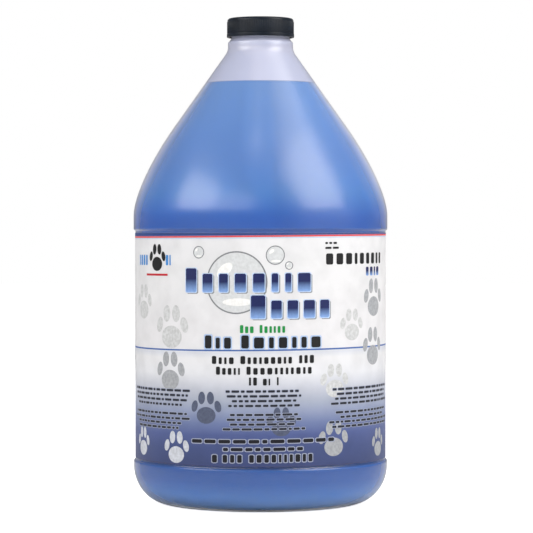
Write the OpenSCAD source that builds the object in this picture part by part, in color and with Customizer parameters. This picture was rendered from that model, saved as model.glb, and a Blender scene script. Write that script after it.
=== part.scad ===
// One-gallon round shampoo bottle: a blown bottle with a threaded neck, its contents,
// a wrap label in the recessed panel, and a ribbed screw cap with a foam liner.
// Frame: +Z up, origin at the centre of the standing ring, front of the label towards -Y.

/* [Body] */
// Outside diameter of the body, above and below the label panel
body_d = 152; // [126:1:183]
// Height of the rim above the surface that the bottle stands on
bottle_h = 287.6; // [239.6:0.2:345.2]
// Wall thickness of the blown body
wall = 1; // [0.8:0.1:1.4]
// Height of the empty space from the rim down to the contents
headspace = 36.3; // [25:0.1:60]

/* [Base] */
// Radial width of the rounded corner between the standing ring and the side
base_corner_w = 21; // [14:0.5:26]
// Height of that corner
base_corner_h = 23; // [17:0.5:25]
// Radial width of the standing ring
ring_w = 7; // [5:0.5:9]
// Rise of the push-up at the middle of the base
push_up = 6; // [4:0.5:8]

/* [Label panel] */
// Height of the lower end of the recessed panel
panel_z = 27.6; // [27.2:0.2:34]
// Height of the recessed panel
panel_h = 134.4; // [112:0.2:161.4]
// Depth of the recess
panel_depth = 1.1; // [0.8:0.1:1.8]
// Height of the slope that leads into the recess at each end
panel_slope = 2.6; // [2:0.1:4]
// Gap between each long edge of the label and the end of the panel
label_margin = 0.2; // [0.1:0.1:6]
// Opening between the label's two ends, at the back
label_open = 10; // [2:1:120]
// Thickness of the label film
label_t = 0.15; // [0.1:0.05:0.3]

/* [Shoulder] */
// Length of straight side between the panel's upper slope and the shoulder's curve
land_h = 7.2; // [2:0.2:12]
// Height that the shoulder's curve takes below the corner of side and cone
shoulder_low = 18.8; // [12:0.2:24]
// Length of cone that the shoulder's curve takes above the corner
shoulder_high = 43; // [25:1:52]
// Radius of the hollow fillet between the cone and the neck band
neck_fillet = 8; // [4:0.5:11]

/* [Neck] */
// Outside diameter of the neck wall under the thread
neck_d = 34.9; // [29:0.1:42]
// Thickness of the neck wall under the thread
neck_wall = 1.75; // [1.3:0.05:2.5]
// Height of the finish, from the rim down to the flare
finish_h = 9.7; // [9.5:0.1:12]
// Height of the flare between the finish and the neck band
flare_h = 2; // [1.5:0.1:3]
// How far the neck band stands out from the neck wall
band_out = 2; // [1.5:0.1:3]
// Height of the neck band, down to where the cone would meet it
band_h = 5.4; // [4:0.1:8]

/* [Thread] */
// Rise of the thread in one turn
pitch = 4.233; // [3.5:0.001:4.8]
// Turns of thread on the neck
neck_turns = 1.15; // [1:0.05:1.2]
// Turns of thread in the cap
cap_turns = 1.1; // [1:0.05:1.2]
// Height of the neck thread above the neck wall
thread_h = 1.05; // [0.9:0.05:1.3]
// Radial clearance between each thread's crest and the wall that it faces
thread_gap = 0.3; // [0.2:0.05:0.4]
// Axial clearance between the flanks that bear when the cap is tight
flank_gap = 0.1; // [0.05:0.05:0.3]

/* [Cap] */
// Thickness of the cap's top
cap_top = 1.4; // [1:0.1:2.5]
// Thickness of the cap's side, to the roots of the ribs
cap_wall = 1; // [0.8:0.1:1.6]
// Gap between the cap's foot and the flare of the neck
foot_gap = 0.7; // [0.3:0.1:1.5]
// Number of grip ribs
rib_count = 120; // [60:2:140]
// Height of a grip rib above its root
rib_h = 0.22; // [0.15:0.01:0.4]
// Height of the plain bead at the foot of the cap
bead_h = 2.2; // [1.5:0.1:3]
// Radius of the cap's top edge
cap_edge = 1.6; // [1:0.1:2.2]
// Thickness of the foam liner
liner_t = 1; // [0.8:0.1:1.6]

/* [Hidden] */
$fn = 96;
eps = 0.01;
content_gap = 0.15;      // between the contents and the wall
film_gap = 0.04;         // between the label and the panel
liner_gap = 0.45;        // between the liner's edge and the cap's wall
thread_bury = 0.3;       // how deep a thread's root sits in its wall
section_step = 7.5;      // degrees between points on a round stretch of the outline
curve_steps = 16;        // points on the shoulder's curve
thread_steps = 40;       // sections in one turn of thread
thread_fade = 40;        // degrees over which a thread runs out at each end
thread_start = 1.3;      // rim to the top flank of the neck thread

body_r = body_d / 2;
ring_r = body_r - base_corner_w;
panel_r = body_r - panel_depth;
panel_top = panel_z + panel_h;
side_h = panel_top + panel_slope + land_h + shoulder_low;
neck_r = neck_d / 2;
mouth_r = neck_r - neck_wall;
band_r = neck_r + band_out;
finish_z = bottle_h - finish_h;
band_top = finish_z - flare_h;
band_z = band_top - band_h;
thread_r = neck_r + thread_h;

// The cone's lean from the vertical, and its length from the neck band to the corner
cone_angle = atan((body_r - band_r) / (band_z - side_h));
cone_length = norm([body_r - band_r, band_z - side_h]);
fillet_run = neck_fillet * tan(cone_angle / 2);
high_run = min(shoulder_high, cone_length - fillet_run - 1);

// Cap sizes, from the neck that it screws on
cap_bore_r = thread_r + thread_gap;
cap_crest_r = neck_r + thread_gap;
rib_root_r = cap_bore_r + cap_wall;
rib_tip_r = rib_root_r + rib_h;
bead_r = rib_tip_r + 0.15;
cap_z = finish_z + foot_gap;
cap_top_z = bottle_h + liner_t + cap_top;
cap_h = cap_top_z - cap_z;

// Half widths of a thread at its root and at its crest
neck_thread = [pitch * 0.27, pitch * 0.11];
cap_thread = [pitch * 0.22, pitch * 0.08];
thread_mid_r = (thread_r + cap_crest_r) / 2;
neck_thread_z = bottle_h - thread_start - neck_thread[0];
cap_thread_drop = flank_gap
    + half_width(neck_thread, neck_r, thread_r, thread_mid_r)
    + half_width(cap_thread, cap_bore_r, cap_crest_r, thread_mid_r);
// Height of the cap thread's low end, clear of the cap's foot
cap_thread_z = cap_z + cap_thread[0] + 0.5;

// A thread's half width at radius r, between its root and its crest
function half_width(half, root_r, crest_r, r) =
    half[0] + (half[1] - half[0]) * (r - root_r) / (crest_r - root_r);

// Points of an ellipse's arc from angle a0 to a1
function arc(centre, rx, ry, a0, a1) =
    let (n = ceil(abs(a1 - a0) / section_step))
    [for (i = [0:n]) let (a = a0 + (a1 - a0) * i / n) centre + [rx * cos(a), ry * sin(a)]];

// Points that round the corner at c between p and q
function blend(p, c, q, n, pull = 0.6) =
    let (b = p + (c - p) * pull, d = q + (c - q) * pull)
    [for (i = [0:n]) let (t = i / n, s = 1 - t)
        s * s * s * p + 3 * s * s * t * b + 3 * s * t * t * d + t * t * t * q];

// Unit normal to the left of the line from p to q
function left_of(p, q) = let (d = (q - p) / norm(q - p)) [-d[1], d[0]];

// The open outline pts, moved to its left by d
function moved_in(pts, d) =
    let (n = len(pts))
    [for (i = [0:n - 1])
        let (
            a = left_of(pts[max(i - 1, 0)], pts[max(i, 1)]),
            b = left_of(pts[min(i, n - 2)], pts[min(i + 1, n - 1)])
        )
        pts[i] + (a + b) * d / (1 + a * b)];

// A soft step from radius r0 at height z0 to radius r1 at height z1
function step_line(r0, z0, r1, z1) =
    let (mid = [(r0 + r1) / 2, (z0 + z1) / 2], rise = z1 - z0)
    concat(
        blend([r0, z0], [r0, z0 + rise * 0.4], mid, 3),
        blend(mid, [r1, z1 - rise * 0.4], [r1, z1], 3));

// The base's underside, from its middle to the standing ring
function push_up_line() =
    let (in_r = ring_r - ring_w, n = 12)
    [for (i = [0:n]) [in_r * i / n, push_up * (1 + cos(180 * i / n)) / 2]];

// The side, from the standing ring to the top of the label panel's upper slope
function side_line() = concat(
    arc([ring_r, base_corner_h], body_r - ring_r, base_corner_h, -90, 0),
    step_line(body_r, panel_z - panel_slope, panel_r, panel_z),
    step_line(panel_r, panel_top, body_r, panel_top + panel_slope));

// The shoulder's curve, the cone and its fillet, up to the neck band
function shoulder_line() = concat(
    blend([body_r, side_h - shoulder_low], [body_r, side_h],
        [body_r, side_h] + high_run * [-sin(cone_angle), cos(cone_angle)], curve_steps),
    arc([band_r + neck_fillet, band_z + fillet_run], neck_fillet, neck_fillet, 180 + cone_angle, 180));

function neck_line() = [
    [band_r, band_top - 0.5], [band_r - 0.4, band_top], [neck_r, finish_z]];

function without_repeats(pts) =
    [for (i = [0:len(pts) - 1]) if (i == 0 || norm(pts[i] - pts[max(i - 1, 0)]) > eps) pts[i]];

// The outside, from the middle of the base to the foot of the finish
function outside_line() =
    without_repeats(concat(push_up_line(), side_line(), shoulder_line(), neck_line()));

// The same line, moved in by d, with its first point put back on the axis
function inside_line(d) =
    let (pts = moved_in(outside_line(), d))
    [for (i = [0:len(pts) - 1]) i == 0 ? [0, pts[0][1]] : pts[i]];

// The part of a rising line that lies under height z, with a last point at z
function line_below(pts, z) =
    let (
        low = [for (p = pts) if (p[1] < z - eps) p],
        a = low[len(low) - 1],
        b = pts[len(low)]
    )
    concat(low, [a + (b - a) * (z - a[1]) / (b[1] - a[1])]);

// A helical ridge of turns turns that rises from height z at angle 0 in the direction of +Z.
// half holds its half widths at root_r and crest_r, and it sinks into its wall at both ends.
module thread_ridge(root_r, crest_r, half, z, turns) {
    out = sign(crest_r - root_r);
    steps = round(turns * thread_steps);
    foot_r = root_r - out * thread_bury;
    section = function (i)
        let (
            a = 360 * turns * i / steps,
            grown = min(1, min(a, 360 * turns - a) / thread_fade),
            tip_r = (root_r - out * eps * 5) + (crest_r - root_r + out * eps * 5) * grown,
            mid = z + pitch * a / 360,
            rz = [[foot_r, -half[0]], [tip_r, -half[1]], [tip_r, half[1]], [foot_r, half[0]]],
            order = out > 0 ? [3, 2, 1, 0] : [0, 1, 2, 3]
        )
        [for (k = order) [rz[k][0] * cos(a), rz[k][0] * sin(a), mid + rz[k][1]]];
    points = [for (i = [0:steps]) each section(i)];
    sides = [for (i = [0:steps - 1], k = [0:3])
        let (a = 4 * i + k, b = 4 * i + (k + 1) % 4)
        each [[a, a + 4, b + 4], [a, b + 4, b]]];
    last = 4 * steps;
    polyhedron(points, concat(sides,
        [[0, 1, 2], [0, 2, 3], [last, last + 2, last + 1], [last, last + 3, last + 2]]));
}

module bottle() {
    color([0.86, 0.87, 0.94, 0.5]) {
        difference() {
            rotate_extrude()
                polygon(concat(outside_line(), [
                    [neck_r, bottle_h - 0.4], [neck_r - 0.4, bottle_h], [0, bottle_h]]));
            rotate_extrude()
                polygon(concat(inside_line(wall), [[0, finish_z]]));
            translate([0, 0, band_z])
                cylinder(r = mouth_r, h = bottle_h);
        }
        rotate(180)
            thread_ridge(neck_r, thread_r, neck_thread, neck_thread_z - pitch * neck_turns, neck_turns);
    }
}

module shampoo() {
    fill_z = bottle_h - headspace;
    surface_line = line_below(inside_line(wall + content_gap), fill_z);
    color([0.16, 0.36, 0.72, 0.85])
        rotate_extrude()
            polygon(concat(surface_line, [[0, fill_z]]));
}

module wrap_label() {
    inner_r = panel_r + film_gap;
    turn = 360 - label_open / (inner_r + label_t) * 180 / PI;
    color("#dfe4ee")
        translate([0, 0, panel_z + label_margin])
            rotate(-90 - turn / 2)
                rotate_extrude(angle = turn)
                    translate([inner_r, 0])
                        square([label_t, panel_h - 2 * label_margin]);
}

module cap() {
    color("#1d232c") {
        difference() {
            union() {
                rotate_extrude()
                    polygon(concat(
                        [[0, cap_z], [bead_r - 0.3, cap_z], [bead_r, cap_z + 0.3],
                            [bead_r, cap_z + bead_h - 0.3], [rib_root_r, cap_z + bead_h]],
                        arc([rib_root_r - cap_edge, cap_top_z - cap_edge], cap_edge, cap_edge, 0, 90),
                        [[0, cap_top_z]]));
                translate([0, 0, cap_z + bead_h - 0.2])
                    linear_extrude(cap_h - bead_h - cap_edge + 0.2)
                        polygon(rib_outline());
            }
            translate([0, 0, cap_z - 1])
                cylinder(r = cap_bore_r, h = cap_h - cap_top + 1);
        }
        rotate(180 - 360 * (neck_thread_z - cap_thread_drop - cap_thread_z) / pitch + 360 * neck_turns)
            thread_ridge(cap_bore_r, cap_crest_r, cap_thread, cap_thread_z, cap_turns);
    }
}

// The cap's outline with its grip ribs, each with a flat tip and flat root
function rib_outline() = [
    for (i = [0:rib_count - 1], k = [0:3])
        let (a = 360 * (i + [0, 0.3, 0.5, 0.8][k]) / rib_count, r = k < 2 ? rib_tip_r : rib_root_r)
        r * [cos(a), sin(a)]];

module cap_liner() {
    color("white")
        translate([0, 0, bottle_h])
            cylinder(r = cap_bore_r - liner_gap, h = liner_t);
}

bottle();
shampoo();
wrap_label();
cap();
cap_liner();
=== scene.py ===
# %% [markdown]
# # A gallon bottle of pet shampoo
#
# The bottle is blown from natural polyethylene, filled with a blue shampoo, dressed with a
# printed wrap label and closed by a ribbed black screw cap. Almost all of it is round, so one
# rule makes most of it: an outline is turned about the upright axis. This first cell loads the
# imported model, which fixes every size and place. The front of the label faces -Y.

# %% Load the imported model
import math
import random

import bmesh
import bpy
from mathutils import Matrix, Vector


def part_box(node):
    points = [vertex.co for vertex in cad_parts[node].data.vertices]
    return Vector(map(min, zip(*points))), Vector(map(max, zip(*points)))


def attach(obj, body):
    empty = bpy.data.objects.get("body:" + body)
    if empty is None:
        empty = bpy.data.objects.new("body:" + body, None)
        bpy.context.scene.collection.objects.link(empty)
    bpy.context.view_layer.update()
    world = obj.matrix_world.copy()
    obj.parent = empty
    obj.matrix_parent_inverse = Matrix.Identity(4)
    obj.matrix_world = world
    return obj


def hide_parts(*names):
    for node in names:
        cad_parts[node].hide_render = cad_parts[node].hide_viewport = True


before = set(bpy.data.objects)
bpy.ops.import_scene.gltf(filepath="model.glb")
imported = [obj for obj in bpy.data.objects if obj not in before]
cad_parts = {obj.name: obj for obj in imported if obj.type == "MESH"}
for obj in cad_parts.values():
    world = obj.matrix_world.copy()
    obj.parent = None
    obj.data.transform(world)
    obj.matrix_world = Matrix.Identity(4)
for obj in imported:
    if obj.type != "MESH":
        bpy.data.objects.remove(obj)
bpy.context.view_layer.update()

# %% [markdown]
# Sizes could be typed in again here, but then a change to the model would leave the looks behind.
# They are read off the boxes of the model's own parts instead, so everything below follows them.

# %% Read the main sizes off the model's own boxes
MM = 0.001
bottle_low, bottle_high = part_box("bottle")
label_low, label_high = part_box("wrap_label")
cap_low, cap_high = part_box("cap")
liquid_low, liquid_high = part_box("shampoo")

BODY_R = bottle_high.x
RIM_Z = bottle_high.z
LABEL_R = label_high.x
FILL_Z = liquid_high.z
CAP_FOOT_Z = cap_low.z
CAP_TOP_Z = cap_high.z
print(f"body {2000 * BODY_R:.1f} mm across, rim at {1000 * RIM_Z:.1f} mm")

# %% [markdown]
# A few small helpers serve the whole file. `add` puts one node in a tree, with its settings and
# links. `colour` turns an sRGB hex value into the linear numbers that shaders work in. `ramp`
# fills a colour ramp, and `node_group` starts a Geometry Nodes tree with named inputs.

# %% Helpers for nodes and colours
def add(tree, kind, links=None, **settings):
    """Add a node. Each link is a socket, a node (which gives its first output) or a plain value."""
    node = tree.nodes.new(kind)
    for name, value in settings.items():
        setattr(node, name, value)
    for name, value in (links or {}).items():
        if isinstance(value, bpy.types.Node):
            value = value.outputs[0]
        if isinstance(value, bpy.types.NodeSocket):
            tree.links.new(value, node.inputs[name])
        else:
            node.inputs[name].default_value = value
    return node


def colour(hex_code, alpha=1.0):
    parts = [int(hex_code[i:i + 2], 16) / 255 for i in (1, 3, 5)]
    return (*[c / 12.92 if c <= 0.04045 else ((c + 0.055) / 1.055) ** 2.4 for c in parts], alpha)


def ramp(node, stops):
    """Give a colour ramp its (place, colour) stops."""
    while len(node.color_ramp.elements) > 1:
        node.color_ramp.elements.remove(node.color_ramp.elements[0])
    for i, (place, shade) in enumerate(stops):
        stop = node.color_ramp.elements[0] if i == 0 else node.color_ramp.elements.new(place)
        stop.position, stop.color = place, shade


def node_group(name, inputs, output):
    """A Geometry Nodes tree with named inputs, given as (name, kind), and one output."""
    tree = bpy.data.node_groups.new(name, "GeometryNodeTree")
    for socket, kind in inputs:
        tree.interface.new_socket(socket, in_out="INPUT", socket_type="NodeSocket" + kind)
    tree.interface.new_socket(output, in_out="OUTPUT", socket_type="NodeSocketGeometry")
    return tree, add(tree, "NodeGroupInput").outputs


print("sRGB mid grey is", [round(c, 3) for c in colour("#808080")[:3]], "in linear light")

# %% [markdown]
# ## Outlines
#
# A turned shape is fully described by its outline, a list of (radius, height) points. The
# bottle's is made of a few arcs and soft corners, like the drawing that its mould was cut from.
# A Bezier curve object could hold it too, but a list of points is easier to measure and offset.

# %% Arcs and soft corners
def arc(centre, radii, start, end, step=2.5):
    """Points on an ellipse from start to end, in degrees, about step apart."""
    count = max(2, math.ceil(abs(end - start) / step))
    turns = [math.radians(start + (end - start) * i / count) for i in range(count + 1)]
    return [(centre[0] + radii[0] * math.cos(a), centre[1] + radii[1] * math.sin(a)) for a in turns]


def soft_corner(p, corner, q, count, pull=0.6):
    """A smooth curve from p to q that bends round the corner between them."""
    p, corner, q = Vector(p), Vector(corner), Vector(q)
    a, b = p.lerp(corner, pull), q.lerp(corner, pull)
    curve = []
    for i in range(count + 1):
        t = i / count
        s = 1 - t
        curve.append(tuple(s ** 3 * p + 3 * s * s * t * a + 3 * s * t * t * b + t ** 3 * q))
    return curve


def step_between(r0, z0, r1, z1, count=5):
    """An S-shaped step from one radius and height to another."""
    middle, rise = ((r0 + r1) / 2, (z0 + z1) / 2), z1 - z0
    return (soft_corner((r0, z0), (r0, z0 + rise * 0.4), middle, count)
            + soft_corner(middle, (r1, z1 - rise * 0.4), (r1, z1), count))


print("a quarter turn is drawn with", len(arc((0, 0), (1, 1), 0, 90)), "points")

# %% Clean and offset a line
def tidy_line(points, least=0.02 * MM):
    """Drop points that repeat the one before."""
    kept = [points[0]]
    for p in points[1:]:
        if math.dist(p, kept[-1]) > least:
            kept.append(p)
    return kept


def moved_in(points, depth):
    """The same line, moved towards the inside by depth."""
    line = [Vector(p) for p in points]
    moved = []
    for i, p in enumerate(line):
        before = (p - line[i - 1]).normalized() if i else (line[1] - p).normalized()
        after = (line[i + 1] - p).normalized() if i < len(line) - 1 else before
        left = Vector((-before.y, before.x)), Vector((-after.y, after.x))
        moved.append(tuple(p + (left[0] + left[1]) * depth / (1 + left[0].dot(left[1]))))
    moved[0] = (0.0, points[0][1] + depth)
    return moved


print("4 points with one repeat tidy to", len(tidy_line([(0, 0), (0, 0), (1, 0), (2, 0)])))

# %% [markdown]
# The bottle stands on a ring round a push-up base, which keeps it from rocking. A recessed panel
# keeps the label from scuffing. Above a short upright land, one long soft corner leads into the
# straight shoulder. The neck has a thick band for carrying, and a thinner finish for the thread.

# %% The blown bottle's outside, from the middle of its base to its rim
WALL = 1.0 * MM
PANEL_R = LABEL_R - 0.19 * MM  # the film's thickness and a hair of room
PANEL_LOW, PANEL_HIGH = label_low.z - 0.2 * MM, label_high.z + 0.2 * MM
SLOPE, LAND = 2.6 * MM, 7.2 * MM  # the panel's sloped ends, and the upright band above it
RING_R, RING_W, CORNER_H, PUSH_UP = BODY_R - 21 * MM, 7 * MM, 23 * MM, 6 * MM
BEND_BELOW, BEND_ABOVE = 18.8 * MM, 43 * MM  # how far the shoulder's bend reaches either way
NECK_R = 17.45 * MM
BAND_R = NECK_R + 2 * MM
NECK_FILLET = 8 * MM
FINISH_Z = RIM_Z - 9.7 * MM
BAND_HIGH = FINISH_Z - 2 * MM
BAND_LOW = BAND_HIGH - 5.4 * MM
MOUTH_R = NECK_R - 1.75 * MM
BASE_POINTS = 24


def bottle_outline():
    in_r = RING_R - RING_W
    base = [(in_r * i / BASE_POINTS, PUSH_UP * (1 + math.cos(math.pi * i / BASE_POINTS)) / 2)
            for i in range(BASE_POINTS + 1)]
    corner = arc((RING_R, CORNER_H), (BODY_R - RING_R, CORNER_H), -90, 0)
    panel = (step_between(BODY_R, PANEL_LOW - SLOPE, PANEL_R, PANEL_LOW)
             + step_between(PANEL_R, PANEL_HIGH, BODY_R, PANEL_HIGH + SLOPE))
    side_z = PANEL_HIGH + SLOPE + LAND + BEND_BELOW
    lean = math.atan2(BODY_R - BAND_R, BAND_LOW - side_z)
    cone = (BODY_R - BEND_ABOVE * math.sin(lean), side_z + BEND_ABOVE * math.cos(lean))
    shoulder = soft_corner((BODY_R, side_z - BEND_BELOW), (BODY_R, side_z), cone, 48)
    neck = arc((BAND_R + NECK_FILLET, BAND_LOW + NECK_FILLET * math.tan(lean / 2)),
               (NECK_FILLET, NECK_FILLET), 180 + math.degrees(lean), 180, 4)
    band = [(BAND_R, BAND_HIGH - 0.5 * MM), (BAND_R - 0.15 * MM, BAND_HIGH - 0.15 * MM),
            (BAND_R - 0.5 * MM, BAND_HIGH), (NECK_R, FINISH_Z)]
    return tidy_line(base + corner + panel + shoulder + neck + band)


outline = bottle_outline()
print(f"bottle outline: {len(outline)} points, widest {1000 * max(p[0] for p in outline):.2f} mm")

# %% [markdown]
# ## Turning an outline into a solid
#
# Blender's Screw modifier or `bmesh.ops.spin` could do this. Geometry Nodes do it here with one
# rule that makes every round piece of the bottle, and the two screw threads as well. A grid has
# one row for each point of the outline and one column for each section of the turn. Each grid
# point takes its place from the outline and is turned about the axis. With a rise and a few
# turns, the same rule sweeps a thread. A fade shrinks a thread towards its root at both ends.

# %% A grid that knows its rows and columns
def outline_grid(tree, given):
    """The grid, each grid point's row, and how far round the turn it is, from 0 to 1."""
    rows = add(tree, "GeometryNodeAttributeDomainSize", {"Geometry": given["Outline"]})
    columns = add(tree, "ShaderNodeMath", {0: given["Sections"], 1: 1.0}, operation="ADD")
    grid = add(tree, "GeometryNodeMeshGrid", {
        "Vertices X": rows.outputs["Point Count"], "Vertices Y": columns})
    index = add(tree, "GeometryNodeInputIndex")
    share = add(tree, "ShaderNodeMath", {0: index, 1: columns}, operation="DIVIDE")
    row = add(tree, "ShaderNodeMath", {0: share}, operation="FLOOR")
    column = add(tree, "ShaderNodeMath", {0: index, 1: columns}, operation="MODULO")
    along = add(tree, "ShaderNodeMath", {0: column, 1: given["Sections"]}, operation="DIVIDE")
    return grid, row, along


def read_outline(tree, given, row):
    """Each grid point's place on the outline, and whether it is marked as inside."""
    place = add(tree, "GeometryNodeInputPosition")
    point = add(tree, "GeometryNodeSampleIndex", {
        "Geometry": given["Outline"], "Value": place, "Index": row}, data_type="FLOAT_VECTOR")
    inner = add(tree, "GeometryNodeInputNamedAttribute", {"Name": "inner"}, data_type="FLOAT")
    flag = add(tree, "GeometryNodeSampleIndex", {
        "Geometry": given["Outline"], "Value": inner, "Index": row}, data_type="FLOAT")
    return point, flag


print("the bottle's grid will have a row for each of", len(outline), "outline points")

# %% A section that shrinks towards its root near either end
TINY = 1e-6
RUN_OUT = 0.11  # the part of a turn over which a thread fades


def faded(tree, given, point, along):
    back = add(tree, "ShaderNodeMath", {0: 1.0, 1: along}, operation="SUBTRACT")
    nearest = add(tree, "ShaderNodeMath", {0: along, 1: back}, operation="MINIMUM")
    reach = add(tree, "ShaderNodeMath", {0: given["Fade"], 1: TINY}, operation="MAXIMUM")
    grown = add(tree, "ShaderNodeMath", {0: nearest, 1: reach}, operation="DIVIDE", use_clamp=True)
    plain = add(tree, "ShaderNodeMath", {0: given["Fade"], 1: TINY}, operation="LESS_THAN")
    full = add(tree, "ShaderNodeMath", {0: grown, 1: plain}, operation="MAXIMUM")
    out = add(tree, "ShaderNodeVectorMath", {0: point, 1: given["Root"]}, operation="SUBTRACT")
    sized = add(tree, "ShaderNodeVectorMath", {0: out, "Scale": full}, operation="SCALE")
    return add(tree, "ShaderNodeVectorMath", {0: sized, 1: given["Root"]}, operation="ADD")


print(f"threads fade over {360 * RUN_OUT:.0f} degrees at each end")

# %% The turning tree
WELD = 2e-6  # metres: closes the seam of a full turn, and the poles on the axis


def turning_tree():
    tree, given = node_group("turned outline", (
        ("Outline", "Geometry"), ("Sections", "Int"), ("Turns", "Float"), ("Rise", "Float"),
        ("Root", "Vector"), ("Fade", "Float"), ("Outside", "Material"), ("Inside", "Material")),
        "Mesh")
    grid, row, along = outline_grid(tree, given)
    point, flag = read_outline(tree, given, row)
    turn = add(tree, "ShaderNodeMath", {0: along, 1: given["Turns"]}, operation="MULTIPLY")
    angle = add(tree, "ShaderNodeMath", {0: turn, 1: 2 * math.pi}, operation="MULTIPLY")
    turned_point = add(tree, "ShaderNodeVectorRotate", {
        "Vector": faded(tree, given, point, along), "Angle": angle}, rotation_type="Z_AXIS")
    climb = add(tree, "ShaderNodeMath", {0: along, 1: given["Rise"]}, operation="MULTIPLY")
    lift = add(tree, "ShaderNodeCombineXYZ", {"Z": climb})
    placed = add(tree, "GeometryNodeSetPosition", {
        "Geometry": grid, "Position": turned_point, "Offset": lift})
    marked = add(tree, "GeometryNodeStoreNamedAttribute", {
        "Geometry": placed, "Name": "inside", "Value": flag}, data_type="FLOAT")

    closed = add(tree, "GeometryNodeMergeByDistance", {"Geometry": marked, "Distance": WELD})
    smooth = add(tree, "GeometryNodeSetShadeSmooth", {"Geometry": closed})
    real = add(tree, "GeometryNodeRealizeInstances", {"Geometry": smooth})
    dressed = add(tree, "GeometryNodeSetMaterial", {"Geometry": real, "Material": given["Outside"]})
    mark = add(tree, "GeometryNodeInputNamedAttribute", {"Name": "inside"}, data_type="FLOAT")
    within = add(tree, "ShaderNodeMath", {0: mark, 1: 0.9}, operation="GREATER_THAN")
    lined = add(tree, "GeometryNodeSetMaterial", {
        "Geometry": dressed, "Material": given["Inside"], "Selection": within})
    add(tree, "NodeGroupOutput", {"Mesh": lined})
    return tree


TURNING = turning_tree()
print("turning tree:", len(TURNING.nodes), "nodes")

# %% [markdown]
# A tree is run as a modifier. Its inputs are set by their identifiers, what it makes is copied
# out as a plain mesh, and the modifier is removed, so that each piece is left as simple geometry.

# %% Run a tree on a piece and keep the plain mesh it makes
def new_piece(name, points, faces=(), edges=()):
    mesh = bpy.data.meshes.new(name)
    mesh.from_pydata([tuple(p) for p in points], list(edges), list(faces))
    piece = bpy.data.objects.new(name, mesh)
    bpy.context.scene.collection.objects.link(piece)
    return piece


def run_tree(piece, tree, **inputs):
    modifier = piece.modifiers.new(tree.name, "NODES")
    modifier.node_group = tree
    for item in tree.interface.items_tree:
        if item.item_type == "SOCKET" and item.in_out == "INPUT" and item.name in inputs:
            modifier[item.identifier] = inputs[item.name]
    graph = bpy.context.evaluated_depsgraph_get()
    made = bpy.data.meshes.new_from_object(piece.evaluated_get(graph))
    piece.modifiers.clear()
    drawn, piece.data = piece.data, made
    bpy.data.meshes.remove(drawn)
    return piece


def face_outwards(mesh):
    """Turn a closed mesh's faces outwards. Gives its volume and how many edges are open."""
    solid = bmesh.new()
    solid.from_mesh(mesh)
    if solid.calc_volume(signed=True) < 0:
        bmesh.ops.reverse_faces(solid, faces=solid.faces)
        solid.to_mesh(mesh)
    volume, open_edges = solid.calc_volume(), sum(not e.is_manifold for e in solid.edges)
    solid.free()
    return volume, open_edges


named = [item.name for item in TURNING.interface.items_tree if item.in_out == "INPUT"]
print("inputs of the turning tree:", ", ".join(named))

# %% Turn an outline into a finished piece
def turned(name, line, outside, inside=None, inner_from=None, sections=192, turns=1.0, rise=0.0,
           root=(0.0, 0.0, 0.0), fade=0.0, crease=35):
    """A closed piece, made by turning line about the axis. Points from inner_from on are inside."""
    piece = new_piece(name, [(r, 0, z) for r, z in line],
                      edges=[(i, i + 1) for i in range(len(line) - 1)])
    if inner_from is not None:
        flag = piece.data.attributes.new("inner", "FLOAT", "POINT")
        flag.data.foreach_set("value", [float(i >= inner_from) for i in range(len(line))])
    run_tree(piece, TURNING, Sections=sections, Turns=-turns, Rise=rise, Root=root, Fade=fade,
             Outside=outside, Inside=inside or outside)
    mesh = piece.data
    mesh.name = name
    volume, open_edges = face_outwards(mesh)
    mesh.set_sharp_from_angle(angle=math.radians(crease))
    print(f"{name}: {len(mesh.polygons)} faces, {1e6 * volume:.2f} cm3, {open_edges} open edges")
    return piece


print(f"192 sections round the body are {2 * math.pi * BODY_R / MM / 192:.1f} mm each")

# %% [markdown]
# ## Natural polyethylene, blow-moulded
#
# High-density polyethylene without pigment is milky: its crystals scatter light, so a thin wall
# is half clear head on and nearly white where it is seen edge on. Mixing a Transparent shader
# with a soft white one, by how squarely the wall faces the eye, gives both. Real subsurface
# scattering in a 1 mm wall would cost far more time and noise for the same look. The mould
# leaves a soft gloss with a slight waviness, and a fine line where its two halves meet.

# %% The wall's surface: waves, grain and mould line
def new_material(name):
    material = bpy.data.materials.new(name)
    material.use_nodes = True
    material.node_tree.nodes.clear()
    return material, material.node_tree


def blown_surface(tree, place, axes):
    # Waves of about 22 mm from the blowing, and a 1.3 mm grain, drawn coarse enough to show
    waves = add(tree, "ShaderNodeTexNoise", {
        "Vector": place, "Scale": 1 / (22 * MM), "Detail": 1.0})
    grain = add(tree, "ShaderNodeTexNoise", {
        "Vector": place, "Scale": 1 / (1.3 * MM), "Detail": 2.0})
    off_seam = add(tree, "ShaderNodeMath", {0: axes.outputs["Y"]}, operation="ABSOLUTE")
    seam = add(tree, "ShaderNodeMapRange", {
        "Value": off_seam, "From Min": 0.1 * MM, "From Max": 0.4 * MM,
        "To Min": 1.0, "To Max": 0.0})
    wavy = add(tree, "ShaderNodeBump", {"Height": waves, "Strength": 0.35, "Distance": 0.5 * MM})
    grained = add(tree, "ShaderNodeBump", {
        "Height": grain, "Strength": 0.01, "Distance": 0.05 * MM, "Normal": wavy})
    return add(tree, "ShaderNodeBump", {
        "Height": seam, "Strength": 0.5, "Distance": 0.1 * MM, "Normal": grained})


print("about", round(2 * math.pi * BODY_R / (22 * MM)), "waves go round the body")

# %% The wall's milk: most where it is seen edge on, and where no liquid wets it
DRY_MILKINESS, LOW_MILKINESS = 0.72, 0.22
MILK_BY_ANGLE = ((0.0, 0.035), (0.5, 0.05), (0.66, 0.13), (0.80, 0.50), (0.94, 0.88))


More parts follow.
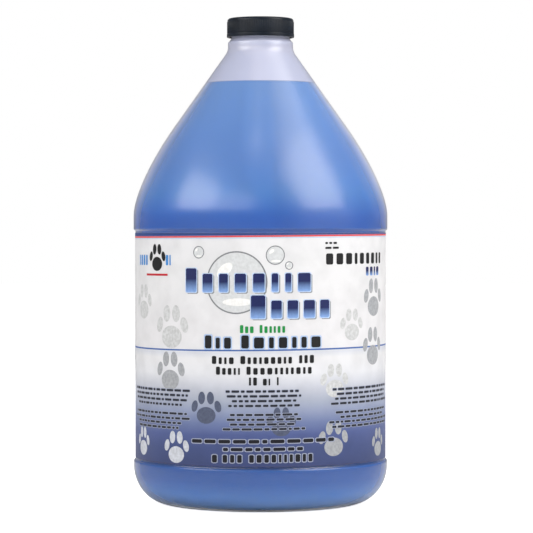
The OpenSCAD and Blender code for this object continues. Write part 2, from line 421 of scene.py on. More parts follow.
def milk(tree, axes):
    """How milky each point looks, and how dry it is, both from 0 to 1."""
    facing = add(tree, "ShaderNodeLayerWeight", {"Blend": 0.5})
    edge_on = add(tree, "ShaderNodeValToRGB", {0: facing.outputs["Facing"]})
    ramp(edge_on, [(place, (grey, grey, grey, 1)) for place, grey in MILK_BY_ANGLE])
    dry = add(tree, "ShaderNodeMapRange", {
        "Value": axes.outputs["Z"], "From Min": FILL_Z - 0.3 * MM, "From Max": FILL_Z + 0.3 * MM,
        "To Max": DRY_MILKINESS})
    # The thick, well-wetted lower body shows less milk than the shoulder
    foot = add(tree, "ShaderNodeMapRange", {
        "Value": axes.outputs["Z"], "From Min": PANEL_HIGH, "From Max": PANEL_HIGH + 30 * MM,
        "To Min": LOW_MILKINESS, "To Max": 1.0})
    edge = add(tree, "ShaderNodeMath", {0: edge_on, 1: foot}, operation="MULTIPLY")
    return add(tree, "ShaderNodeMath", {0: edge, 1: dry}, operation="MAXIMUM"), dry


print("milk, head on and edge on:", MILK_BY_ANGLE[0][1], "and", MILK_BY_ANGLE[-1][1])

# %% The wall's outer and inner faces
def natural_polyethylene():
    """Unpigmented polyethylene: lavender-white milk over whatever is behind, under a soft gloss."""
    material, tree = new_material("natural HDPE, blow-moulded")
    place = add(tree, "ShaderNodeTexCoord").outputs["Object"]
    axes = add(tree, "ShaderNodeSeparateXYZ", {0: place})
    surface = blown_surface(tree, place, axes)
    milkiness, dry = milk(tree, axes)
    tint = add(tree, "ShaderNodeValToRGB", {0: dry})
    ramp(tint, [(0.0, colour("#E2E6FB")), (0.6, colour("#C3C6DE"))])
    clear = add(tree, "ShaderNodeBsdfTransparent", {"Color": colour("#F8F9FD")})
    milky = add(tree, "ShaderNodeBsdfDiffuse", {"Color": tint, "Normal": surface})
    wall = add(tree, "ShaderNodeMixShader", {0: milkiness, 1: clear, 2: milky})
    # A high index lifts the soft reflections to the strength that a moulded skin shows
    shine = add(tree, "ShaderNodeFresnel", {"IOR": 1.82})
    gloss = add(tree, "ShaderNodeBsdfGlossy", {"Roughness": 0.3, "Normal": surface})
    skin = add(tree, "ShaderNodeMixShader", {0: shine, 1: wall, 2: gloss})
    # Light that goes in is scattered on, not stopped, so the wall casts hardly any shadow
    path = add(tree, "ShaderNodeLightPath")
    passed = add(tree, "ShaderNodeBsdfTransparent", {"Color": (0.94, 0.94, 0.97, 1)})
    lit = add(tree, "ShaderNodeMixShader", {0: path.outputs["Is Shadow Ray"], 1: skin, 2: passed})
    add(tree, "ShaderNodeOutputMaterial", {"Surface": lit})
    return material


def inner_polyethylene():
    """The wall's inner face. Dry, it scatters a little light, and under liquid hardly any."""
    material, tree = new_material("natural HDPE, inner face")
    place = add(tree, "ShaderNodeTexCoord").outputs["Object"]
    axes = add(tree, "ShaderNodeSeparateXYZ", {0: place})
    dry = add(tree, "ShaderNodeMapRange", {
        "Value": axes.outputs["Z"], "From Min": FILL_Z - 0.4 * MM, "From Max": FILL_Z + 0.4 * MM,
        "To Min": 0.02, "To Max": 0.12})
    skin = add(tree, "ShaderNodeBsdfPrincipled", {
        "Base Color": colour("#DADDF0"), "Roughness": 0.6, "Alpha": dry})
    add(tree, "ShaderNodeOutputMaterial", {"Surface": skin})
    return material


HDPE, HDPE_INSIDE = natural_polyethylene(), inner_polyethylene()
print("wall material:", len(HDPE.node_tree.nodes), "nodes")

# %% [markdown]
# ## The bottle
#
# A gallon bottle is one hollow blow-moulded shell with a wall of about 1 mm. A Solidify modifier
# could thicken its outside, but it rounds no rim and can't tell the mouth from the wall. So the
# outline runs up the outside, over the rim, down the bore and back down the inside, and the
# whole closed line is turned at once.

# %% Blow the bottle
rim = [(NECK_R, RIM_Z - 0.4 * MM), (NECK_R - 0.15 * MM, RIM_Z - 0.12 * MM),
       (NECK_R - 0.4 * MM, RIM_Z)]
bore = [(MOUTH_R, RIM_Z), (MOUTH_R, FINISH_Z)]
inside = [p for p in moved_in(outline, WALL) if p[1] < FINISH_Z - 0.5 * MM]
inside.append((NECK_R - WALL, FINISH_Z - 0.05 * MM))
shell_line = outline + rim + bore + inside[::-1]
bottle_shell = turned("bottle_shell", shell_line, HDPE, HDPE_INSIDE,
                      inner_from=len(outline) + len(rim) + 1, sections=256)
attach(bottle_shell, "bottle")
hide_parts("bottle")

# %% [markdown]
# The neck's thread is one right-hand ridge of 1.15 turns. Its section is a flat-topped wedge,
# swept by the same tree with a rise of one pitch a turn. The cap's thread is its partner, and
# lies just under it. Both run out smoothly at their ends, as moulded threads do.

# %% Sweep the neck's thread
PITCH = 4.233 * MM
THREAD_START = 1.3 * MM
THREAD_DEPTH = 1.05 * MM
SUNK = 0.3 * MM  # how far a ridge's foot is sunk into its wall


def thread(name, root_r, crest_r, half_root, half_crest, low_z, start_turn, turns, material):
    """A ridge on the wall at root_r. low_z and start_turn place the middle of its low end."""
    foot_r = root_r - math.copysign(SUNK, crest_r - root_r)
    section = [(foot_r, -half_root), (crest_r, -half_crest), (crest_r, half_crest),
               (foot_r, half_root), (foot_r, -half_root)]
    ridge = turned(name, section, material, sections=round(72 * turns), turns=-turns,
                   rise=PITCH * turns, root=(foot_r, 0, 0), fade=RUN_OUT / turns, crease=25)
    angle = 2 * math.pi * start_turn
    for v in ridge.data.vertices:
        x, y, z = v.co
        v.co = (x * math.cos(angle) - y * math.sin(angle),
                x * math.sin(angle) + y * math.cos(angle), z + low_z)
    return ridge


NECK_TURNS, NECK_HALF, NECK_CREST_HALF = 1.15, PITCH * 0.27, PITCH * 0.11
NECK_CREST_R = NECK_R + THREAD_DEPTH
thread_top_z = RIM_Z - THREAD_START - NECK_HALF
neck_thread = thread("neck_thread", NECK_R, NECK_CREST_R, NECK_HALF, NECK_CREST_HALF,
                     thread_top_z - PITCH * NECK_TURNS, 0.5, NECK_TURNS, HDPE)
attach(neck_thread, "bottle")

# %% [markdown]
# ## The shampoo
#
# A clear dyed liquid gets deeper in colour with the length of liquid that light crosses, so it
# is paler at the narrow top and strong at the full body. Real absorption would need long, noisy
# light paths through the milky wall. Here the colour follows the height instead, because the
# body's width does too. The same ramp also carries painted light: the pale base paints light
# bounced up from the floor, and the lighter shoulder and top paint light falling from above.
# The surface creeps up the wall in a small meniscus.

# %% Dye the shampoo, with painted light in its colour
# Height in mm and colour. The stops are partly the dye's depth and partly painted light: the pale
# stops at the base paint light from the floor, and the lighter shoulder stops paint light from
# above.
DYE_AND_LIGHT = ((1, "#8CC8FF"), (5, "#76B6F8"), (9, "#68AAF2"), (18, "#2474CA"), (28, "#065EB4"),
       (160, "#0067C8"), (170, "#0A71D2"), (184, "#3C8AD2"), (205, "#4F8ACD"), (251, "#6698D0"))


def blue_shampoo():
    """A dyed liquid with no gloss of its own, because the wall hides its skin. Its colour by height
    is the dye's depth together with painted light: pale at the base and the shoulder.
    """
    material, tree = new_material("dyed shampoo, liquid")
    place = add(tree, "ShaderNodeTexCoord").outputs["Object"]
    axes = add(tree, "ShaderNodeSeparateXYZ", {0: place})
    depth = add(tree, "ShaderNodeMapRange", {"Value": axes.outputs["Z"], "From Max": FILL_Z})
    # This ramp paints light into the liquid's colour as well as the dye's depth: paler at the base
    # and the shoulder, where light falls.
    dye_and_light = add(tree, "ShaderNodeValToRGB", {0: depth})
    ramp(dye_and_light, [(z * MM / FILL_Z, colour(c)) for z, c in DYE_AND_LIGHT])
    cloud = add(tree, "ShaderNodeTexNoise", {
        "Vector": place, "Scale": 1 / (45 * MM), "Detail": 1.0})
    drift = add(tree, "ShaderNodeMapRange", {"Value": cloud, "To Min": 0.97, "To Max": 1.03})
    shaded = add(tree, "ShaderNodeHueSaturation", {"Color": dye_and_light, "Value": drift})
    liquid = add(tree, "ShaderNodeBsdfPrincipled", {
        "Base Color": shaded, "Roughness": 0.35, "Specular IOR Level": 0.0})
    add(tree, "ShaderNodeOutputMaterial", {"Surface": liquid})
    return material


SHAMPOO = blue_shampoo()
print("dye:", len(DYE_AND_LIGHT), "tones from the base to the fill line")

# %% Fill the bottle
FILM_GAP = 0.12 * MM  # room between the wall and the liquid, too small to see


def up_to(line, top):
    """The line from its start to where it crosses the height top."""
    for i in range(1, len(line)):
        (r0, z0), (r1, z1) = line[i - 1], line[i]
        if z1 > top:
            return line[:i] + [(r0 + (r1 - r0) * (top - z0) / (z1 - z0), top)]
    return line


wetted = up_to(moved_in(outline, WALL + FILM_GAP), FILL_Z - 0.05 * MM)
wall_r = wetted[-1][0]
meniscus = [(wall_r - 0.8 * MM, FILL_Z - 0.7 * MM), (wall_r - 2.6 * MM, FILL_Z - 1.2 * MM),
            (0.0, FILL_Z - 1.3 * MM)]
liquid_fill = turned("liquid_fill", wetted + meniscus, SHAMPOO, sections=192)
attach(liquid_fill, "bottle")
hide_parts("shampoo")

# %% [markdown]
# ## The cap
#
# Injection-moulded black polypropylene: a short skirt with fine upright ribs for grip, a plain
# bead at its foot and a soft top edge. The shell is turned like the bottle. The ribs could be
# part of its outline as a gear is, but one rib that Geometry Nodes repeat is easier to change.

# %% Black polypropylene
def black_polypropylene():
    """Moulded polypropylene: deep blue-black, with the satin that a spark-eroded tool leaves."""
    material, tree = new_material("black polypropylene, injection-moulded")
    place = add(tree, "ShaderNodeTexCoord").outputs["Object"]
    # The tool's grain, about 0.5 mm as drawn
    grain = add(tree, "ShaderNodeTexNoise", {
        "Vector": place, "Scale": 1 / (0.5 * MM), "Detail": 2.0})
    skin = add(tree, "ShaderNodeBump", {"Height": grain, "Strength": 0.12, "Distance": 0.05 * MM})
    wear = add(tree, "ShaderNodeTexNoise", {
        "Vector": place, "Scale": 1 / (6 * MM), "Detail": 3.0})
    rough = add(tree, "ShaderNodeMapRange", {"Value": wear, "To Min": 0.32, "To Max": 0.44})
    shade = add(tree, "ShaderNodeValToRGB", {0: wear})
    ramp(shade, [(0.3, colour("#07101C")), (0.7, colour("#0D1826"))])
    plastic = add(tree, "ShaderNodeBsdfPrincipled", {
        "Base Color": shade, "Roughness": rough, "IOR": 1.36, "Normal": skin})
    add(tree, "ShaderNodeOutputMaterial", {"Surface": plastic})
    return material


BLACK_PP = black_polypropylene()
print("cap material:", BLACK_PP.name)

# %% Turn the cap's shell
CAP_BORE_R = 18.8 * MM
RIB_ROOT_R = CAP_BORE_R + 1.0 * MM
RIB_TIP_R = RIB_ROOT_R + 0.22 * MM
BEAD_R, BEAD_H, BEAD_EDGE = RIB_TIP_R + 0.15 * MM, 2.2 * MM, 0.3 * MM
EDGE = 1.6 * MM  # the radius of the top edge
LINER_Z = RIM_Z + 1.0 * MM

bead_edge = (BEAD_EDGE, BEAD_EDGE)
cap_line = tidy_line(
    [(CAP_BORE_R, LINER_Z), (CAP_BORE_R, CAP_FOOT_Z + 0.3 * MM),
     (CAP_BORE_R + 0.25 * MM, CAP_FOOT_Z)]
    + arc((BEAD_R - BEAD_EDGE, CAP_FOOT_Z + BEAD_EDGE), bead_edge, -90, 0, 15)
    + arc((BEAD_R - BEAD_EDGE, CAP_FOOT_Z + BEAD_H - BEAD_EDGE), bead_edge, 0, 80, 15)
    + [(RIB_ROOT_R, CAP_FOOT_Z + BEAD_H + 0.1 * MM)]
    + arc((RIB_ROOT_R - EDGE, CAP_TOP_Z - EDGE), (EDGE, EDGE), 0, 90, 7.5)
    + [(0.0, CAP_TOP_Z)])
cap_shell = turned("cap_shell", [(0.0, LINER_Z)] + cap_line, BLACK_PP, sections=192)
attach(cap_shell, "cap")
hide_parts("cap")

# %% [markdown]
# The grip is 120 fine ribs. One small closed rib is drawn on the +X side. The tree puts a copy
# of it on as many points as there are ribs, all on the axis, each turned a little further round.

# %% One rib
RIB_COUNT = 120


def one_rib():
    """A rounded upright ridge, with its ends sloped back into the skirt."""
    half = math.pi * RIB_ROOT_R / RIB_COUNT * 0.62
    low, high = CAP_FOOT_Z + BEAD_H - 0.1 * MM, CAP_TOP_Z - EDGE - 0.1 * MM
    foot, tip = RIB_ROOT_R - 0.25 * MM, RIB_TIP_R
    across = [(foot, -half), (tip - 0.08 * MM, -half * 0.62), (tip, -half * 0.22),
              (tip, half * 0.22), (tip - 0.08 * MM, half * 0.62), (foot, half)]
    levels = [(low, 0.0), (low + 0.35 * MM, 1.0), (high - 0.5 * MM, 1.0), (high, 0.0)]
    points = [(foot + (x - foot) * grown, y, z) for z, grown in levels for x, y in across]
    n = len(across)
    faces = [(a * n + i, a * n + (i + 1) % n, (a + 1) * n + (i + 1) % n, (a + 1) * n + i)
             for a in range(len(levels) - 1) for i in range(n)]
    faces += [tuple(range(n))[::-1], tuple(range((len(levels) - 1) * n, len(levels) * n))]
    return points, faces


points, faces = one_rib()
print("one rib:", len(faces), "faces")

# %% Ribs round the skirt
def rib_ring_tree():
    tree, given = node_group("ribs round the skirt", (
        ("Rib", "Geometry"), ("Count", "Int"), ("Plastic", "Material")), "Ribs")
    places = add(tree, "GeometryNodePoints", {"Count": given["Count"], "Position": (0, 0, 0)})
    index = add(tree, "GeometryNodeInputIndex")
    share = add(tree, "ShaderNodeMath", {0: index, 1: given["Count"]}, operation="DIVIDE")
    angle = add(tree, "ShaderNodeMath", {0: share, 1: 2 * math.pi}, operation="MULTIPLY")
    turn = add(tree, "ShaderNodeCombineXYZ", {"Z": angle})
    ring = add(tree, "GeometryNodeInstanceOnPoints", {
        "Points": places, "Instance": given["Rib"], "Rotation": turn})
    real = add(tree, "GeometryNodeRealizeInstances", {"Geometry": ring})
    dressed = add(tree, "GeometryNodeSetMaterial", {"Geometry": real, "Material": given["Plastic"]})
    add(tree, "NodeGroupOutput", {"Ribs": dressed})
    return tree


cap_ribs = run_tree(new_piece("cap_ribs", points, faces), rib_ring_tree(),
                    Count=RIB_COUNT, Plastic=BLACK_PP)
for polygon in cap_ribs.data.polygons:
    polygon.use_smooth = True
cap_ribs.data.set_sharp_from_angle(angle=math.radians(50))
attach(cap_ribs, "cap")
print("cap ribs:", len(cap_ribs.data.polygons), "faces")

# %% [markdown]
# The cap's thread has to clear the neck's all the way off, so its place isn't chosen by eye. It
# lies below the neck's ridge by both half widths, measured midway between the crests, and a
# 0.1 mm flank gap. That fixes the point of the turn at which it starts.

# %% The cap's own thread, one flank gap under the neck's
FLANK_GAP = 0.1 * MM
CAP_HALF, CAP_CREST_HALF, CAP_TURNS = PITCH * 0.22, PITCH * 0.08, 1.1
CAP_CREST_R = NECK_R + 0.3 * MM
cap_thread_z = CAP_FOOT_Z + CAP_HALF + 0.5 * MM
middle = 0.5 * (NECK_CREST_R + CAP_CREST_R)
at_neck = NECK_HALF + (NECK_CREST_HALF - NECK_HALF) * (middle - NECK_R) / THREAD_DEPTH
at_cap = CAP_HALF + (CAP_CREST_HALF - CAP_HALF) * (CAP_BORE_R - middle) / THREAD_DEPTH
drop = FLANK_GAP + at_neck + at_cap
cap_start = 0.5 - (thread_top_z - drop - cap_thread_z) / PITCH + NECK_TURNS
cap_thread = thread("cap_thread", CAP_BORE_R, CAP_CREST_R, CAP_HALF, CAP_CREST_HALF,
                    cap_thread_z, cap_start % 1.0, CAP_TURNS, BLACK_PP)
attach(cap_thread, "cap")

# %% [markdown]
# The liner is a plain die-cut disc of foam that seals the rim. Its shape in the model is already
# right, so it keeps that mesh and only gets a material, assigned to its slot.

# %% The liner keeps its own disc, in foamed polyethylene
def foam():
    """Closed-cell foam: matt off-white, dimpled by cells of about 0.5 mm."""
    material, tree = new_material("polyethylene foam, die-cut")
    place = add(tree, "ShaderNodeTexCoord").outputs["Object"]
    cells = add(tree, "ShaderNodeTexVoronoi", {"Vector": place, "Scale": 1 / (0.5 * MM)})
    skin = add(tree, "ShaderNodeBump", {"Height": cells, "Strength": 0.4, "Distance": 0.1 * MM})
    shade = add(tree, "ShaderNodeValToRGB", {0: cells})
    ramp(shade, [(0.0, colour("#DCDCD6")), (1.0, colour("#F2F2EE"))])
    soft = add(tree, "ShaderNodeBsdfPrincipled", {
        "Base Color": shade, "Roughness": 0.75, "Normal": skin})
    add(tree, "ShaderNodeOutputMaterial", {"Surface": soft})
    return material


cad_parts["cap_liner"].material_slots[0].material = foam()
print("liner material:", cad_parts["cap_liner"].material_slots[0].material.name)

# %% [markdown]
# ## The wrap label
#
# White film, printed and varnished. Its ground fades from white through grey-blue to navy, with
# a navy and a red line at the top and a blue line across the middle. The film itself is the
# model's own piece. The ground could be an image, but its colour depends only on height, so a
# ramp on Object Z draws it at any resolution.

# %% The film and its printed ground
TILT = 0.0096  # the print runs up to the right by this slope, as on a label laid on by machine
GROUND = ((27.8, "#33406F"), (38, "#3A4879"), (46, "#47558A"), (53, "#66749F"), (59, "#8590AF"),
          (66, "#A0A7BA"), (73, "#BBBFCC"), (81, "#D8DAE1"), (90, "#DBDCE1"), (93.4, "#CBCFDA"),
          (94.4, "#DADBE0"), (100, "#DBDBE0"), (140, "#DADBDF"), (161.8, "#DBDCE1"))


def label_height(tree, place):
    """Height on the level print: Z less the tilt, which is in step with X on the cylinder."""
    axes = add(tree, "ShaderNodeSeparateXYZ", {0: place})
    rise = add(tree, "ShaderNodeMath", {0: axes.outputs["X"], 1: TILT}, operation="MULTIPLY")
    return add(tree, "ShaderNodeMath", {0: axes.outputs["Z"], 1: rise}, operation="SUBTRACT")


def printed_film():
    """Varnished film: a satin sheen, and a faint cloudiness where the white ink lies thin."""
    material, tree = new_material("polypropylene label film, printed and varnished")
    place = add(tree, "ShaderNodeTexCoord").outputs["Object"]
    low, high = label_low.z, label_high.z
    share = add(tree, "ShaderNodeMapRange", {
        "Value": label_height(tree, place), "From Min": low, "From Max": high})
    ground = add(tree, "ShaderNodeValToRGB", {0: share})
    ramp(ground, [((z * MM - low) / (high - low), colour(c)) for z, c in GROUND])
    mottle = add(tree, "ShaderNodeTexNoise", {
        "Vector": place, "Scale": 1 / (13 * MM), "Detail": 3.0})
    tone = add(tree, "ShaderNodeMapRange", {
        "Value": mottle, "From Min": 0.4, "From Max": 0.7, "To Min": 1.03, "To Max": 0.93})
    washed = add(tree, "ShaderNodeHueSaturation", {"Color": ground, "Value": tone})
    weave = add(tree, "ShaderNodeTexNoise", {
        "Vector": place, "Scale": 1 / (1.5 * MM), "Detail": 2.0})
    skin = add(tree, "ShaderNodeBump", {"Height": weave, "Strength": 0.04, "Distance": 0.1 * MM})
    rough = add(tree, "ShaderNodeMapRange", {"Value": weave, "To Min": 0.42, "To Max": 0.52})
    film = add(tree, "ShaderNodeBsdfPrincipled", {
        "Base Color": washed, "Roughness": rough, "IOR": 1.45, "Normal": skin})
    add(tree, "ShaderNodeOutputMaterial", {"Surface": film})
    return material


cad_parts["wrap_label"].material_slots[0].material = printed_film()
print(f"label: {1000 * (label_high.z - label_low.z):.1f} mm high, {len(GROUND)} ground tones")

# %% [markdown]
# ### The print
#
# The print is made of plain shapes only: paw prints, bubbles, and bars that stand for lines of
# text, as a designer blocks out a layout. They could be painted in the film's material, but as
# geometry they stay sharp at any distance and keep their places in any export. Each shape is a
# thin closed film of ink, drawn flat in millimetres. Geometry Nodes then bend the flat sheet of
# ink round the label.

# %% Bend a flat print round the label
def wrapping_tree():
    tree, given = node_group("print bent round the label", (
        ("Print", "Geometry"), ("Radius", "Float"), ("Tilt", "Float"), ("Ink", "Material")), "Mesh")
    flat = add(tree, "ShaderNodeSeparateXYZ", {0: add(tree, "GeometryNodeInputPosition")})
    angle = add(tree, "ShaderNodeMath", {0: flat.outputs["X"], 1: given["Radius"]},
                operation="DIVIDE")
    sine = add(tree, "ShaderNodeMath", {0: angle}, operation="SINE")
    cosine = add(tree, "ShaderNodeMath", {0: angle}, operation="COSINE")
    radius = add(tree, "ShaderNodeMath", {0: given["Radius"], 1: flat.outputs["Y"]},
                 operation="ADD")
    x = add(tree, "ShaderNodeMath", {0: radius, 1: sine}, operation="MULTIPLY")
    back = add(tree, "ShaderNodeMath", {0: radius, 1: cosine}, operation="MULTIPLY")
    y = add(tree, "ShaderNodeMath", {0: back, 1: -1.0}, operation="MULTIPLY")
    rise = add(tree, "ShaderNodeMath", {0: x, 1: given["Tilt"]}, operation="MULTIPLY")
    z = add(tree, "ShaderNodeMath", {0: flat.outputs["Z"], 1: rise}, operation="ADD")
    place = add(tree, "ShaderNodeCombineXYZ", {"X": x, "Y": y, "Z": z})
    bent = add(tree, "GeometryNodeSetPosition", {"Geometry": given["Print"], "Position": place})
    real = add(tree, "GeometryNodeRealizeInstances", {"Geometry": bent})
    inked = add(tree, "GeometryNodeSetMaterial", {"Geometry": real, "Material": given["Ink"]})
    add(tree, "NodeGroupOutput", {"Mesh": inked})
    return tree


WRAPPING = wrapping_tree()
print("wrapping tree:", len(WRAPPING.nodes), "nodes")

# %% [markdown]
# Every shape is a list of columns: a place along the label, a low edge and a high edge, all in
# mm. Two columns make a block and many make a curve, and all of them bend in the same way.

# %% Bars, ovals and rings
SLIVER = 0.02  # mm: no column is thinner, so that every film of ink stays closed


def bar(s0, s1, z0, z1, corner=0.0):
    """An upright block with its corners cut, split every 3 mm so that it can bend."""
    count = max(1, math.ceil((s1 - s0 - 2 * corner) / 3))
    flat = [(s0 + corner + (s1 - s0 - 2 * corner) * i / count, z0, z1) for i in range(count + 1)]
    if not corner:
        return flat
    return [(s0, z0 + corner, z1 - corner)] + flat + [(s1, z0 + corner, z1 - corner)]


def oval(s, z, half_s, half_z, lean=0.0, count=16):
    """An ellipse. lean shifts it up for each mm to the right."""
    columns = []
    for i in range(count + 1):
        a = math.pi * i / count
        across, up = -half_s * math.cos(a), half_z * math.sin(a)
        middle_z = z + lean * across
        columns.append((s + across, middle_z - up - SLIVER, middle_z + up + SLIVER))
    return columns


def ring(s, z, radius, line, count=48):
    """A circle's outline, as an upper and a lower half."""
    halves = []
    for side in (-1, 1):
        columns = []
        for i in range(count + 1):
            across = -radius * math.cos(math.pi * i / count)
            outer = math.sqrt(max(radius ** 2 - across ** 2, 0))
            inner = math.sqrt(max((radius - line) ** 2 - across ** 2, 0))
            low, high = sorted((z + side * inner, z + side * outer))
            columns.append((s + across, low, max(high, low + SLIVER)))
        halves.append(columns)
    return halves


print("a 20 mm bar has", len(bar(0, 20, 0, 1)), "columns")

# %% Paws, blocked-out words and lines of text
def paw(s, z, size):
    """A paw print: one broad pad and four toes."""
    return [oval(s, z - 0.16 * size, 0.30 * size, 0.24 * size),
            oval(s - 0.37 * size, z + 0.10 * size, 0.105 * size, 0.16 * size, 0.4),
            oval(s - 0.14 * size, z + 0.34 * size, 0.11 * size, 0.18 * size, 0.1),
            oval(s + 0.14 * size, z + 0.34 * size, 0.11 * size, 0.18 * size, -0.1),
            oval(s + 0.37 * size, z + 0.10 * size, 0.105 * size, 0.16 * size, -0.4)]


def word(chance, s0, s1, z0, z1, count, gap=0.4, first=1.0, grow=0.0, shift=(0.0, 0.0)):
    """A word blocked out: count upright blocks of uneven width, the first taller by first."""
    widths = [chance.uniform(0.75, 1.25) * (first if i == 0 else 1.0) for i in range(count)]
    scale = (s1 - s0) / sum(widths)
    shapes, s = [], s0 + shift[0]
    for i, width in enumerate(widths):
        wide, space = width * scale, gap * scale
        top = z0 + (z1 - z0) * (1.0 if i == 0 else 1.0 / first)
        shapes.append(bar(s - grow, s + wide - space + grow, z0 - grow + shift[1],
                          top + grow + shift[1], corner=min(0.2 * (wide - space), 0.7)))
        s += wide
    return shapes


def text_line(chance, s0, s1, z, high):
    """One line of blocked-out text: bars of uneven length, as words are."""
    shapes, s = [], s0
    while s < s1 - high:
        end = min(s + high * chance.uniform(1.4, 4.5), s1)
        shapes.append(bar(s, end, z, z + high, corner=0.25 * high))
        s = end + high * 0.8
    return shapes


def larger(shapes, by):
    """The same shapes, each grown by this many mm all round."""
    return [[(s + by * ((i == len(columns) - 1) - (i == 0)), low - by, high + by)
             for i, (s, low, high) in enumerate(columns)] for columns in shapes]


print("a paw print has", len(paw(0, 0, 20)), "ovals")

# %% [markdown]
# Inks are thin and slightly glossy, and they lie a little unevenly. Where an ink fades from dark
# to light over each shape, the shape carries its own height as an attribute. Inks that overprint
# each other lie in layers, so that no two films share a surface.

# %% An ink
INK_LIFT, INK_FILM = 0.015 * MM, 0.03 * MM


def ink(name, dark, light=None, patchy=0.08):
    """A printing ink: satin, and patchy from 0 to 1. With light, each shape fades up to dark."""
    material, tree = new_material(name)
    place = add(tree, "ShaderNodeTexCoord").outputs["Object"]
    patches = add(tree, "ShaderNodeTexNoise", {
        "Vector": place, "Scale": 1 / (1.6 * MM), "Detail": 3.0})
    fill = add(tree, "ShaderNodeMapRange", {
        "Value": patches, "From Min": 0.3, "From Max": 0.7,
        "To Min": 1 - patchy, "To Max": 1 + patchy})
    up = add(tree, "ShaderNodeAttribute", attribute_name="up")
    tone = add(tree, "ShaderNodeValToRGB", {0: up.outputs["Fac"]})
    ramp(tone, [(0.0, colour(light or dark)), (0.55, colour(dark))])
    printed = add(tree, "ShaderNodeHueSaturation", {"Color": tone, "Value": fill})
    skin = add(tree, "ShaderNodeBsdfPrincipled", {
        "Base Color": printed, "Roughness": 0.5, "IOR": 1.4})
    add(tree, "ShaderNodeOutputMaterial", {"Surface": skin})
    return material


black = ink("black ink", "#0D0E13")
shaded_blue = ink("navy ink, faded to blue", "#101D55", "#7FA3DC")
print("inks so far:", black.name, "and", shaded_blue.name)

# %% Lay the ink down
def print_shapes(name, shapes, material, layer=0):
    """One piece of ink from all its shapes: closed, bent round the label, on the bottle."""
    points, faces, ups = [], [], []
    near = INK_LIFT + layer * INK_FILM
    for columns in shapes:
        first = len(points)
        for s, low, high in columns:
            points += [(s * MM, near, low * MM), (s * MM, near, high * MM),
                       (s * MM, near + INK_FILM, high * MM), (s * MM, near + INK_FILM, low * MM)]
            ups += [0.0, 1.0, 1.0, 0.0]
        last = first + 4 * (len(columns) - 1)
        for a in range(first, last, 4):
            faces += [(a + k, a + (k + 1) % 4, a + 4 + (k + 1) % 4, a + 4 + k) for k in range(4)]
        faces += [(first, first + 3, first + 2, first + 1), (last, last + 1, last + 2, last + 3)]
    piece = new_piece(name, points, faces)
    piece.data.attributes.new("up", "FLOAT", "POINT").data.foreach_set("value", ups)
    run_tree(piece, WRAPPING, Radius=LABEL_R, Tilt=TILT, Ink=material)
    face_outwards(piece.data)
    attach(piece, "bottle")
    print(f"{name}: {len(shapes)} shapes, {len(piece.data.polygons)} faces")


# %% [markdown]
# Four lines frame the label: navy, red and pale blue at the top, and one across the middle. The
# film is cut level and the print is not quite, so the navy line thins towards the right.

# %% Lines that run round the whole label
END = math.pi * LABEL_R / MM - 5.5  # mm from the middle of the front to the label's own end
edge_z = label_high.z / MM - 0.05
top_line = [(s, 160.45, edge_z - TILT * LABEL_R / MM * math.sin(s * MM / LABEL_R))
            for s, _, _ in bar(-END, END, 0, 1)]
print_shapes("print_top_line", [top_line], ink("navy ink", "#24407F"))
print_shapes("print_red_line", [bar(-END, END, 159.45, 160.35)], ink("red ink", "#D2414C"))
print_shapes("print_thin_line", [bar(-END, END, 158.75, 159.15)], ink("pale blue ink", "#A9BFE0"))
print_shapes("print_middle_line", [bar(-END, END, 94.2, 95.1)], ink("mid blue ink", "#3F62A6"))

# %% [markdown]
# The two largest words are blocked out in navy that fades to light blue, with a pale outline and
# a grey shadow. All three are the same blocks, grown or shifted, so each word has its own seed
# and is drawn three times alike.

# %% Headings: a shadow, an outline and a face for each block
HEADINGS = (  # seed, left, right, low, high, blocks, how much taller the first is
    (3, -45.7, 33.5, 128.1, 141.8, 8, 1.3), (5, -5.5, 45.0, 112.9, 126.1, 5, 1.3))


def words(lines, **settings):
    return sum([word(random.Random(seed), s0, s1, z0, z1, count, first=first, **settings)
                for seed, s0, s1, z0, z1, count, first in lines], [])


print_shapes("print_heading_shadow", words(HEADINGS, grow=0.2, shift=(0.9, -0.8)),
             ink("shadow grey ink", "#8E9299"), layer=1)
print_shapes("print_heading_outline", words(HEADINGS, grow=0.45),
             ink("powder blue ink", "#B7CBEA"), layer=2)
print_shapes("print_heading", words(HEADINGS), shaded_blue, layer=3)

# %% Smaller headings, the largest with a sky-blue glow
SUBHEADS = (
    (7, -32.9, -14.5, 95.8, 103.3, 3, 1.2), (8, -11.0, 38.7, 95.8, 103.3, 7, 1.2),
    (9, -28.5, -14.0, 86.9, 91.5, 4, 1.2), (10, -11.5, 19.5, 86.9, 91.5, 9, 1.2),
    (11, 22.5, 32.9, 86.9, 91.5, 3, 1.0), (12, -26.0, -10.5, 80.8, 85.4, 5, 1.2),
    (13, -8.0, 31.6, 80.8, 85.4, 11, 1.2), (14, -6.6, -0.8, 74.6, 79.2, 2, 1.0),
    (15, 1.4, 6.6, 74.6, 78.4, 2, 1.0), (16, 9.4, 11.2, 74.6, 79.2, 1, 1.0))
GREEN = ((17, -11.8, -3.0, 104.6, 109.2, 3, 1.2), (18, -0.5, 15.2, 104.6, 109.2, 6, 1.2))
print_shapes("print_glow", words(SUBHEADS[:2], gap=0.42, grow=0.7),
             ink("sky blue ink", "#A9C0E4"), layer=1)
print_shapes("print_subheads", words(SUBHEADS, gap=0.42), black, layer=3)
print_shapes("print_green_line", words(GREEN), ink("green ink", "#178A42"), layer=2)

# %% [markdown]
# Small print is five blocks of two short paragraphs, spread round the label. Its bars are drawn
# from one seeded chance, so they fall the same way each time. A pale halo behind the small print
# and the foot lines keeps them readable on the dark ground, as a printer would do.

